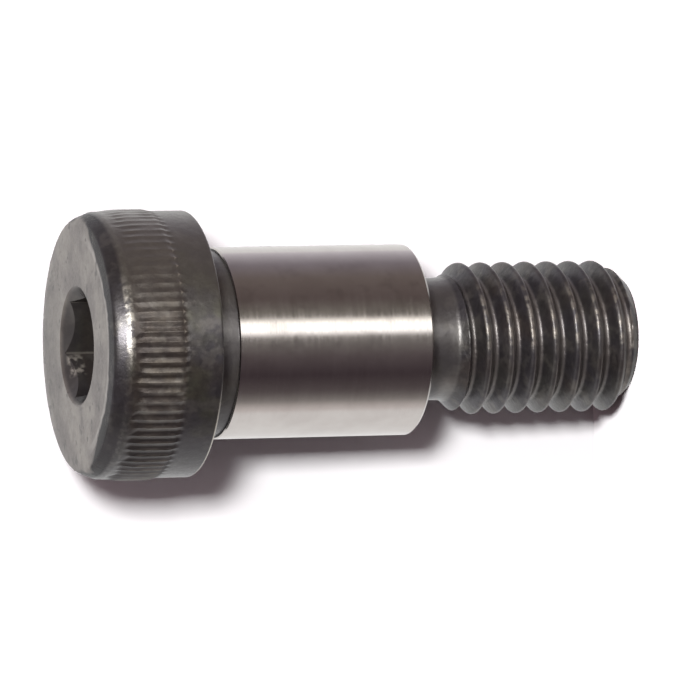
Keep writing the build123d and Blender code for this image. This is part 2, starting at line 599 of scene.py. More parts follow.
@dataclass
class Pattern:
    """A material's nodes, with short ways to draw marks in its Object coordinates."""

    name: str

    def __post_init__(self) -> None:
        """Start an empty material and find the place, height and radius of the shaded point."""
        self.material = bpy.data.materials.new(self.name)
        self.material.use_nodes = True
        self.tree = self.material.node_tree
        self.tree.nodes.clear()
        self.place = add_node(self.tree, "ShaderNodeTexCoord").outputs["Object"]
        self.height = add_node(self.tree, "ShaderNodeSeparateXYZ", {0: self.place}).outputs["Z"]
        self.flat = add_node(
            self.tree, "ShaderNodeMapping", {"Vector": self.place, "Scale": (1, 1, 0)}
        ).outputs[0]
        self.radius = add_node(
            self.tree, "ShaderNodeVectorMath", {0: self.flat}, operation="LENGTH"
        ).outputs["Value"]

    def noise(
        self, size: float, detail: float, shift: float = 0.0, stretch: tuple = (1.0, 1.0, 1.0)
    ) -> bpy.types.NodeSocket:
        """Noise from 0 to 1.

        Args:
            size: About how large its features are, in millimetres.
            detail: How many finer layers it has.
            shift: Moves the pattern by this many features, so that two noises differ.
            stretch: How much longer the features are along X, Y and Z.

        Returns:
            A socket.
        """
        scale = tuple(1 / (size * METRES * by) for by in stretch)
        moved = add_node(
            self.tree, "ShaderNodeMapping",
            {"Vector": self.place, "Location": (shift, shift, shift), "Scale": scale},
        )
        return add_node(
            self.tree, "ShaderNodeTexNoise",
            {"Vector": moved.outputs[0], "Scale": 1.0, "Detail": detail},
        ).outputs["Fac"]

    def ranged(self, value: object, low: float, high: float, out_low: float, out_high: float) -> object:
        """Value carried smoothly from the range low to high onto another range."""
        inputs = {"Value": value, 1: low, 2: high, 3: out_low, 4: out_high}
        return add_node(
            self.tree, "ShaderNodeMapRange", inputs, interpolation_type="SMOOTHSTEP"
        ).outputs[0]

    def patches(
        self,
        size: float,
        detail: float,
        shift: float,
        cut: tuple[float, float],
        share: tuple[float, float],
        stretch: tuple = (1.0, 1.0, 1.0),
    ) -> object:
        """Noise cut into patches.

        Args:
            size: About how large its features are, in millimetres.
            detail: How many finer layers it has.
            shift: Moves the pattern by this many features.
            cut: Noise at which a patch begins, and at which it is full.
            share: Result outside the patches and in them.
            stretch: How much longer the features are along X, Y and Z.

        Returns:
            A socket.
        """
        return self.ranged(self.noise(size, detail, shift, stretch), *cut, *share)

    def side(self, degrees: float, cut: tuple[float, float], share: tuple[float, float]) -> object:
        """One side of the bolt, fading out round it.

        Args:
            degrees: Direction of its middle from +X.
            cut: Cosine of the turn from there where it ends, and where it is full.
            share: Result off this side and on it.

        Returns:
            A socket.
        """
        return self.ranged(self.facing(degrees), *cut, *share)

    def within(self, value: object, low: float, high: float, soft: float) -> object:
        """One where a length lies between two others, falling to nought over a soft edge.

        Args:
            value: Socket of a length in metres.
            low: Lower limit in millimetres.
            high: Upper limit in millimetres.
            soft: Width of each edge in millimetres.

        Returns:
            A socket.
        """
        half = soft / 2
        rise = self.ranged(value, (low - half) * METRES, (low + half) * METRES, 0.0, 1.0)
        fall = self.ranged(value, (high - half) * METRES, (high + half) * METRES, 1.0, 0.0)
        return self.product(rise, fall)

    def facing(self, degrees: float) -> object:
        """Cosine of the turn from a direction: 1 on the side that faces it, -1 on the far side.

        Args:
            degrees: The direction, from +X.

        Returns:
            A socket.
        """
        toward = (float(np.cos(np.radians(degrees))), float(np.sin(np.radians(degrees))), 0.0)
        along = add_node(
            self.tree, "ShaderNodeVectorMath", {0: self.flat, 1: toward}, operation="DOT_PRODUCT"
        ).outputs["Value"]
        inputs = {0: along, 1: self.radius}
        return add_node(self.tree, "ShaderNodeMath", inputs, operation="DIVIDE").outputs[0]

    def direction(self) -> object:
        """Direction about the axis.

        Returns:
            A socket of radians from +X.
        """
        split = add_node(self.tree, "ShaderNodeSeparateXYZ", {0: self.place})
        inputs = {0: split.outputs["Y"], 1: split.outputs["X"]}
        return add_node(self.tree, "ShaderNodeMath", inputs, operation="ARCTAN2").outputs[0]

    def product(self, a: object, b: object, *others: object) -> object:
        """Two or more values multiplied."""
        made = add_node(self.tree, "ShaderNodeMath", {0: a, 1: b}, operation="MULTIPLY").outputs[0]
        return self.product(made, *others) if others else made

    def total(self, a: object, b: object) -> object:
        """Two values added."""
        return add_node(self.tree, "ShaderNodeMath", {0: a, 1: b}, operation="ADD").outputs[0]

    def greater(self, a: object, b: object) -> object:
        """The greater of two values."""
        return add_node(self.tree, "ShaderNodeMath", {0: a, 1: b}, operation="MAXIMUM").outputs[0]

    def mixed(self, share: object, a: object, b: object) -> object:
        """Colour a with a share of colour b over it; each is a socket or a hex code."""
        a, b = (linear(each) if isinstance(each, str) else each for each in (a, b))
        return add_node(
            self.tree, "ShaderNodeMix", {0: share, 6: a, 7: b}, data_type="RGBA"
        ).outputs[2]

    def bump(self, height: object, strength: float, depth: float, under: object = None) -> object:
        """Relief over a height pattern.

        Args:
            height: Socket of the heights, from 0 to 1.
            strength: Share of the relief that shows.
            depth: What a height of 1 stands for, in millimetres.
            under: Another relief, which this one is added to.

        Returns:
            A socket of the bent normal.
        """
        inputs = {"Height": height, "Strength": strength, "Distance": depth * METRES}
        if under is not None:
            inputs["Normal"] = under
        return add_node(self.tree, "ShaderNodeBump", inputs).outputs[0]

    def finish(self, **inputs: object) -> bpy.types.Material:
        """Close the material with a shader.

        Args:
            **inputs: Values or sockets of the shader, named with _ for a space.

        Returns:
            The finished material.
        """
        named = {key.replace("_", " "): value for key, value in inputs.items()}
        shader = add_node(self.tree, "ShaderNodeBsdfPrincipled", named)
        add_node(self.tree, "ShaderNodeOutputMaterial", {"Surface": shader.outputs[0]})
        return self.material


@dataclass(frozen=True)
class BlackOxide:
    """Hot black oxide over turned and rolled alloy steel.

    It gives the eye a dark, slightly oily skin with violet, olive and brown in it. The face of the
    head is rubbed back to a lighter, mottled grey with a ragged edge, and the ridges of the knurl,
    the crests of the thread and the tip are rubbed bright in patches; on the ridges, their lower
    ends and the crests this is stronger on one side, as a painted highlight over the wear. The
    corner of the head and its back edge carry painted highlights on metal worn through the oxide.
    The directions are in degrees from +X, and say on which side of the bolt each mark lies.

    Some of the colours are partly painted light and shade, in place of reflections that this
    studio doesn't give: painted shade on one darker side, painted light on one lighter side of the
    head, and painted light that makes the necks, the socket, the thread roots and the flanks that
    face the tip lighter.
    """

    deep: str = "#4a474b"
    olive: str = "#57564a"
    brown: str = "#534a43"
    # Wear on the ridges, crests and tip, and the painted highlight on one side of them.
    rubbed_and_highlight: str = "#a79f93"
    # Bare metal, shown as painted highlights on the corner, the back edge and in the socket.
    bare_glint: str = "#d6d0c4"
    # Painted light on the thread roots and on the flanks that face the tip.
    flank: str = "#817a76"
    # Painted light that makes the inside of the socket paler.
    socket: str = "#625e5b"
    # Painted light that makes the necks paler.
    neck: str = "#7c7976"
    # Paler patches of the skin, and painted light on one side of the head, in the direction below.
    paler_tone_and_painted_light: str = "#77736d"  # thin spots, and one side of the head
    painted_light_degrees: float = 332.0
    # Darker stains, and painted shade on another side, in the direction below.
    sooty_tone_and_painted_shade: str = "#363234"  # stains, and another side
    painted_shade_degrees: float = 190.0
    face: str = "#979089"
    face_dull: str = "#79716d"
    face_edge_light: str = "#b8b2ad"
    face_mark: str = "#544e4b"
    face_radius: float = 9.1  # on the side toward the face's dark rim
    face_reach: float = 1.25  # how much farther out the face is rubbed on the other side
    face_far_degrees: float = 95.0  # the darker part of the face
    rim_degrees: float = 272.0  # the dark rim
    rim_tint: str = "#808080"  # the rim's thick coat shines less at a glancing angle
    scuff_glint_degrees: float = 113.0
    ridge_end_highlight_degrees: float = 292.0
    crest_highlight_degrees: float = 287.0
    glint_degrees: float = 281.0  # on the corner
    back_edge_highlight_degrees: float = 195.0
    metallic: float = 0.75
    roughness: float = 0.36
    oil: float = 0.4  # weight of the clear film over it all
    oil_roughness: float = 0.3
    stain_size: float = 3.4
    grain_size: float = 0.16  # coarser than the real grain, so that it shows

    def material(self, head: Head, thread: Thread, bearing: float) -> bpy.types.Material:
        """Make the material.

        Args:
            head: The head, for the heights of its zones.
            thread: The thread, likewise.
            bearing: Height of the bearing face in millimetres.

        Returns:
            A material that reads Object coordinates alone.
        """
        pattern = Pattern("black_oxide_on_rolled_steel")
        top = bearing + head.height
        knurl_high = top - head.knurl.start
        colour = self._skin(pattern, knurl_high - head.knurl.length, knurl_high)
        # Painted light: one side of the head is made paler.
        paler_share = pattern.product(
            pattern.side(self.painted_light_degrees, (0.55, 0.97), (0.0, 0.6)),
            pattern.within(pattern.height, bearing, top - 1.2, 0.5),
        )
        colour = pattern.mixed(paler_share, colour, self.paler_tone_and_painted_light)
        # Painted light on the thread roots and on the flanks that face the tip.
        colour = pattern.mixed(pattern.product(self._painted_flank_light(pattern, thread), 0.5), colour, self.flank)
        colour = self._inside_socket(pattern, head.socket, top, colour)
        # Painted light: the neck under the head and the thread's neck are made paler.
        necks = pattern.greater(
            pattern.product(
                pattern.within(pattern.height, bearing - 2.4, bearing - 0.1, 0.1),
                pattern.within(pattern.radius, 7.0, 7.85, 0.1),
            ),
            pattern.within(pattern.height, -thread.neck_width, 1.0, 0.3),
        )
        colour = pattern.mixed(pattern.product(necks, 0.45), colour, self.neck)
        # Painted shade: one side of the head and the necks is made darker.
        painted_shade_side = pattern.product(
            pattern.side(self.painted_shade_degrees, (0.55, 0.97), (0.0, 0.85)),
            pattern.within(pattern.height, -2.0, top + 1, 1.0),
        )
        colour = pattern.mixed(painted_shade_side, colour, self.sooty_tone_and_painted_shade)
        # Wear, with a painted highlight on one side of the ridges, their ends and the crests.
        colour = pattern.mixed(self._rub_and_highlight(pattern, head, thread, bearing), colour, self.rubbed_and_highlight)
        # Painted highlights over bare metal on the corner and the back edge.
        bare_glint = self._bare_glint(pattern, head, bearing)
        colour = pattern.mixed(bare_glint, colour, self.bare_glint)
        outside = pattern.within(pattern.radius, head.socket.mouth_radius - 0.1, 20.0, 0.5)
        worn = pattern.product(self._worn_face(pattern, top), outside)
        colour = pattern.mixed(worn, colour, self._face(pattern))

        grain = pattern.noise(self.grain_size, 4.0, 13.0)
        rough = pattern.ranged(grain, 0.3, 0.7, self.roughness - 0.04, self.roughness + 0.08)
        rough = pattern.total(rough, pattern.product(worn, 0.12))
        rough = pattern.total(rough, pattern.product(bare_glint, -0.05))
        rolled = pattern.within(pattern.height, -thread.length - 1, -thread.neck_width, 0.5)
        rough = pattern.total(rough, pattern.product(rolled, 0.1))
        fine = pattern.bump(grain, 0.2, 0.04)
        lumps = pattern.bump(pattern.noise(0.7, 3.0, 9.0), 0.5, 0.08, fine)
        torn = pattern.product(pattern.noise(0.5, 4.0, 19.0), rolled)
        lumps = pattern.bump(torn, 0.6, 0.1, lumps)
        return pattern.finish(
            Base_Color=colour,
            Metallic=self.metallic,
            Roughness=rough,
            Normal=lumps,
            Specular_Tint=pattern.mixed(self._dark_rim(pattern, worn, top), "#ffffff", self.rim_tint),
            Coat_Weight=self.oil,
            Coat_Roughness=self.oil_roughness,
        )

    def _skin(self, pattern: Pattern, knurl_low: float, knurl_high: float) -> object:
        """The oxide's own colour: violet black with olive and brown stains, brown in the knurl.

        Args:
            pattern: The material's nodes.
            knurl_low: Height of the knurl's lower end in millimetres.
            knurl_high: Height of its upper end.

        Returns:
            A colour socket.
        """
        olive = pattern.patches(self.stain_size, 2.0, 0.0, (0.4, 0.62), (0.0, 1.0))
        less_on_thread = pattern.ranged(pattern.height, -4 * METRES, 0.0, 0.35, 1.0)
        olive = pattern.product(olive, less_on_thread)
        brown = pattern.patches(self.stain_size * 1.5, 2.0, 31.0, (0.5, 0.68), (0.0, 0.7))
        knurl = pattern.within(pattern.height, knurl_low, knurl_high, 0.5)
        colour = pattern.mixed(olive, self.deep, self.olive)
        colour = pattern.mixed(pattern.greater(brown, pattern.product(knurl, 0.8)), colour, self.brown)
        rim = pattern.within(pattern.height, knurl_high + 0.4, knurl_high + 9, 0.6)
        colour = pattern.mixed(pattern.product(rim, 0.75), colour, self.deep)
        soot = pattern.patches(0.9, 5.0, 11.0, (0.36, 0.64), (0.0, 0.45))
        paler_share = pattern.patches(1.3, 5.0, 51.0, (0.5, 0.68), (0.0, 0.4))
        return pattern.mixed(paler_share, pattern.mixed(soot, colour, self.sooty_tone_and_painted_shade), self.paler_tone_and_painted_light)

    def _painted_flank_light(self, pattern: Pattern, thread: Thread) -> object:
        """One on the thread's root and on its flank that faces the tip, where light is painted on.

        The phase along the thread is the height above the tip in pitches, less the direction in
        turns, and is nought at a crest.

        Args:
            pattern: The material's nodes.
            thread: The thread.

        Returns:
            A socket.
        """
        turn = pattern.product(pattern.direction(), 0.5 / np.pi)
        height = pattern.product(pattern.height, 1 / (thread.pitch * METRES))
        start = thread.length / thread.pitch + thread.turn_degrees / 360
        phase = pattern.total(pattern.total(height, start), pattern.product(turn, -1.0))
        phase = add_node(pattern.tree, "ShaderNodeMath", {0: phase}, operation="FRACT").outputs[0]
        rise = pattern.ranged(phase, 0.36, 0.48, 0.0, 1.0)
        on = pattern.product(rise, pattern.ranged(phase, 0.92, 1.0, 1.0, 0.0))
        stretch = pattern.within(pattern.height, -thread.length - 1, -thread.neck_width - 1.0, 0.6)
        return pattern.product(on, stretch)

    def _inside_socket(self, pattern: Pattern, socket: Socket, top: float, colour: object) -> object:
        """Colour with the socket's over it, as painted light: lighter near the mouth, along its corners
        and in a scuff. The corner lines and the scuff are partly wear and partly a painted highlight.

        Args:
            pattern: The material's nodes.
            socket: The hexagon socket.
            top: Height of the head's face in millimetres.
            colour: Colour outside the socket.

        Returns:
            A colour socket.
        """
        inside = pattern.within(pattern.radius, -5.0, socket.mouth_radius, 0.1)
        inside = pattern.product(inside, pattern.within(pattern.height, 0.0, top + 1, 0.1))
        shallow = pattern.within(pattern.height, top - 1.3, top + 1, 1.4)
        colour = pattern.mixed(pattern.product(inside, 0.3), colour, self.socket)
        colour = pattern.mixed(pattern.product(inside, shallow, 0.4), colour, self.socket)
        corner = socket.across_flats / np.sqrt(3)
        line = pattern.product(
            pattern.within(pattern.radius, corner - 0.05, corner + 0.06, 0.05),
            pattern.within(pattern.height, 0.0, top - socket.mouth_margin - 0.1, 0.1),
        )
        # A scuff on one wall: partly wear, partly a painted glint.
        scuff = pattern.product(
            pattern.side(self.scuff_glint_degrees, (0.96, 0.99), (0.0, 1.0)),
            pattern.within(pattern.height, top - 1.7, top - 0.5, 0.4),
            pattern.patches(0.6, 2.0, 2.0, (0.4, 0.66), (0.0, 0.8)),
        )
        pale = pattern.greater(pattern.product(line, 0.28), scuff)
        return pattern.mixed(pattern.product(inside, pale), colour, self.bare_glint)

    def _rub_and_highlight(self, pattern: Pattern, head: Head, thread: Thread, bearing: float) -> object:
        """How far the knurl's ridges and their lower ends, the thread's crests and the tip are rubbed.
        On one side the ridges, their ends and the crests are brighter, as a painted highlight over the wear.

        Args:
            pattern: The material's nodes.
            head: The head.
            thread: The thread.
            bearing: Height of the bearing face in millimetres.

        Returns:
            A socket.
        """
        top, side = bearing + head.height, head.diameter / 2
        # The ridges: wear, brighter on the crisp side as a painted highlight.
        ridges = pattern.product(
            pattern.within(pattern.radius, side + 0.09, side + 1, 0.1),
            pattern.within(pattern.height, bearing, top, 0.5),
            pattern.side(head.knurl.crisp_degrees, (0.2, 0.8), (0.08, 0.26)),
            pattern.patches(0.5, 2.0, 3.0, (0.4, 0.6), (0.2, 1.0), stretch=(1.0, 1.0, 3.0)),
        )
        low = top - head.knurl.start - head.knurl.length
        # The ridges' lower ends: wear, with a painted highlight on one side.
        ends = pattern.product(
            pattern.within(pattern.height, low - 0.15, low + 0.3, 0.2),
            pattern.within(pattern.radius, side + 0.05, side + 1, 0.05),
            pattern.side(self.ridge_end_highlight_degrees, (0.85, 0.96), (0.1, 0.9)),
        )
        crest = thread.diameter / 2
        # The crests: wear, with a painted highlight on one side.
        crests = pattern.product(
            pattern.within(pattern.radius, crest - 0.12, crest + 0.5, 0.14),
            pattern.within(pattern.height, -thread.length - 1, 0, 0.5),
            pattern.side(self.crest_highlight_degrees, (0.85, 0.97), (0.05, 0.45)),
        )
        tip = pattern.within(pattern.height, -thread.length - 1, -thread.length + 1.2, 0.9)
        patchy = pattern.patches(0.7, 3.0, 21.0, (0.42, 0.62), (0.05, 1.0))
        thread_rub = pattern.product(pattern.greater(crests, pattern.product(tip, 0.34)), patchy)
        return pattern.greater(pattern.greater(ridges, ends), thread_rub)

    def _bare_glint(self, pattern: Pattern, head: Head, bearing: float) -> object:
        """Painted highlights on metal worn through the oxide: a glint on one side of the head's corner,
        beside the knurl, and a bright line on its back edge.

        Args:
            pattern: The material's nodes.
            head: The head.
            bearing: Height of the bearing face in millimetres.

        Returns:
            A socket.
        """
        top, side = bearing + head.height, head.diameter / 2
        # Painted glint on one side of the corner.
        corner = pattern.product(
            pattern.within(pattern.height, top - head.knurl.start - 0.12, top - 1.05, 0.22),
            pattern.within(pattern.radius, side - 0.4, side + 1, 0.1),
            pattern.side(self.glint_degrees, (0.93, 0.99), (0.05, 0.42)),
            pattern.patches(0.5, 3.0, 4.0, (0.42, 0.62), (0.05, 1.0)),
        )
        # Painted highlight line on one side of the back edge.
        back = pattern.product(
            pattern.within(pattern.height, bearing - 0.05, bearing + 0.16, 0.1),
            pattern.within(pattern.radius, side - 0.16, side + 1, 0.06),
            pattern.side(self.back_edge_highlight_degrees, (0.5, 0.88), (0.0, 0.9)),
        )
        return pattern.greater(corner, back)

    def _worn_face(self, pattern: Pattern, top: float) -> object:
        """One on the rubbed face of the head, which ends raggedly inside the rim.

        Args:
            pattern: The material's nodes.
            top: Height of the head's face in millimetres.

        Returns:
            A socket.
        """
        ragged = pattern.total(pattern.noise(1.6, 3.0, 17.0), -0.5)
        edge = pattern.total(pattern.radius, pattern.product(ragged, 0.9 * METRES))
        away = pattern.side(self.rim_degrees, (0.2, 0.68), (1.0, 0.0))
        reach = pattern.product(away, -self.face_reach * METRES)
        inside = pattern.within(pattern.total(edge, reach), -5.0, self.face_radius, 0.4)
        lifted = pattern.total(pattern.height, pattern.product(away, 0.7 * METRES))
        return pattern.product(inside, pattern.within(lifted, top - 0.3, top + 3, 0.5))

    def _dark_rim(self, pattern: Pattern, worn: object, top: float) -> object:
        """One on the thick oxide between the rubbed face and the corner."""
        unworn = pattern.total(pattern.product(worn, -1.0), 1.0)
        return pattern.product(unworn, pattern.within(pattern.height, top - 1.1, top + 1, 0.4))

    def _face(self, pattern: Pattern) -> object:
        """Colour of the rubbed face: dull patches, a paler edge, a darker part and dark marks.

        Args:
            pattern: The material's nodes.

        Returns:
            A colour socket.
        """
        dull = pattern.patches(3.4, 4.0, 7.0, (0.38, 0.62), (0.0, 1.0))
        colour = pattern.mixed(dull, self.face, self.face_dull)
        edge = pattern.product(
            pattern.within(pattern.radius, self.face_radius - 0.32, self.face_radius + 0.3, 0.3),
            pattern.side(self.rim_degrees, (0.1, 0.7), (0.0, 0.75)),
        )
        colour = pattern.mixed(edge, colour, self.face_edge_light)
        far = pattern.product(
            pattern.side(self.face_far_degrees, (0.5, 0.95), (0.0, 0.35)),
            pattern.within(pattern.radius, 5.5, 20.0, 2.0),
        )
        fine = pattern.patches(0.9, 5.0, 23.0, (0.4, 0.7), (0.0, 0.3))
        marks = pattern.patches(1.1, 2.0, 41.0, (0.61, 0.7), (0.0, 0.8))
        for each in (far, fine, marks):
            colour = pattern.mixed(each, colour, self.face_mark)
        return colour


@dataclass(frozen=True)
class GroundSteel:
    """Alloy steel, cylindrically ground after blackening.

    It gives the eye a bright pin with fine marks round it, which stretch each highlight along the
    axis and keep the edges of its long bands crisp. One side is faintly smudged.
    """

    colour: str = "#cfcac6"
    dull: str = "#b9b2ae"
    smudge: str = "#8c8582"
    smudge_degrees: float = 287.0  # middle of the smudged side, from +X
    roughness: float = 0.13
    anisotropy: float = 0.6
    mark_spacing: float = 0.09  # coarser than real grinding marks, so that they show

    def material(self) -> bpy.types.Material:
        """Make the material.

        Returns:
            A material that reads Object coordinates alone.
        """
        pattern = Pattern("cylindrically_ground_steel")
        lines = pattern.noise(self.mark_spacing, 4.0, 0.0, (50.0, 50.0, 1.0))
        colour = pattern.mixed(pattern.noise(2.6, 3.0, 5.0), self.colour, self.dull)
        smudges = pattern.product(
            pattern.patches(1.7, 5.0, 61.0, (0.48, 0.72), (0.0, 0.3)),
            pattern.side(self.smudge_degrees, (0.72, 0.93), (0.0, 1.0)),
        )
        colour = pattern.mixed(smudges, colour, self.smudge)
        rough = pattern.ranged(lines, 0.3, 0.7, self.roughness - 0.03, self.roughness + 0.05)
        tangent = add_node(pattern.tree, "ShaderNodeTangent", direction_type="RADIAL", axis="Z")
        return pattern.finish(
            Base_Color=colour,
            Metallic=1.0,
            Roughness=rough,
            Normal=pattern.bump(lines, 0.12, 0.02),
            Anisotropic=self.anisotropy,
            Tangent=tangent.outputs[0],
        )


# ---- The bolt -----------------------------------------------------------------------------------


@dataclass
class ShoulderBolt:
    """The whole bolt, as one piece."""

    head: Head = field(default_factory=Head)
    shoulder: Shoulder = field(default_factory=Shoulder)
    thread: Thread = field(default_factory=Thread)
    oxide: BlackOxide = field(default_factory=BlackOxide)
    ground: GroundSteel = field(default_factory=GroundSteel)
    columns: int = 168  # a multiple of the socket's six sides
    knurl_columns: int = 1008  # twelve to a ridge
    sharp_degrees: float = 35.0

    def build(self) -> bpy.types.Object:
        """Make the skin and dress it.

        Returns:
            The object, riding on the frame in place of the CAD node.
        """
        skin = Skin(start_degrees=self.head.socket.turn_degrees)
        self.head.add_to(skin, self.shoulder.length, self.columns, self.knurl_columns)
        self.shoulder.add_to(skin, self.columns)
        self.thread.add_to(skin, self.columns)
        mesh = skin.mesh("bolt_skin", self.sharp_degrees)
        mesh.materials.append(self.oxide.material(self.head, self.thread, self.shoulder.length))
        mesh.materials.append(self.ground.material())
        bolt = bpy.data.objects.new("bolt_skin", mesh)
        bpy.context.scene.collection.objects.link(bolt)
        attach(bolt, BODY)
        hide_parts(NODE)
        triangles = sum(len(p.vertices) - 2 for p in mesh.polygons)
        log.info("%s: %d triangles", bolt.name, triangles)
        return bolt


# ---- The studio ---------------------------------------------------------------------------------


@dataclass(frozen=True)
class Viewpoint:
    """A camera in front of the bolt, turned on its side, so the head is on the left."""

    distance: float = 624.4
    field_degrees: float = 5.322
    elevation_degrees: float = 18.553
    roll_degrees: float = 1.145
    right_offset: float = 4.452  # of the seat's centre from the middle of the view
    up_offset: float = 0.871

    def build(self) -> bpy.types.Object:
        """Make the camera and set it as the scene's.

        The bolt's +Z lies along the view's left, leaning toward the camera by the elevation.

        Returns:
            The camera object.
        """
        tilt, roll = np.radians(self.elevation_degrees), np.radians(self.roll_degrees)
        up_axis = Vector((-np.cos(tilt) * np.cos(roll), -np.cos(tilt) * np.sin(roll), np.sin(tilt)))
        side_axis = (Vector((0, 1, 0)) - up_axis * up_axis.y).normalized()
        depth_axis = up_axis.cross(side_axis)
        turn = Matrix((side_axis, depth_axis, up_axis))  # from the camera's axes to the bolt's
        offset = Vector((-self.right_offset, -self.up_offset, self.distance)) * METRES
        camera_data = bpy.data.cameras.new("camera")
        camera_data.sensor_width = 36.0
        camera_data.angle = np.radians(self.field_degrees)
        camera_data.clip_start, camera_data.clip_end = 0.01, 20.0
        camera = bpy.data.objects.new("camera", camera_data)
        bpy.context.scene.collection.objects.link(camera)
        camera.matrix_world = Matrix.Translation(turn @ offset) @ turn.to_4x4()
        bpy.context.scene.camera = camera
        return camera


def seen_in_metal(tree: bpy.types.NodeTree, path: bpy.types.Node) -> bpy.types.NodeSocket:
    """One for what metal shows, unless the metal itself only lights a matt surface.

    Without the second part, the bolt would throw the bright room into its own shadow.

    Args:
        tree: Node tree to add to.
        path: Its Light Path node.

    Returns:
        A socket.
    """
    first = add_node(
        tree, "ShaderNodeMath", {0: path.outputs["Diffuse Depth"], 1: 0.5}, operation="LESS_THAN"
    )
    return add_node(
        tree, "ShaderNodeMath", {0: path.outputs["Is Glossy Ray"], 1: first.outputs[0]},
        operation="MULTIPLY",
    ).outputs[0]


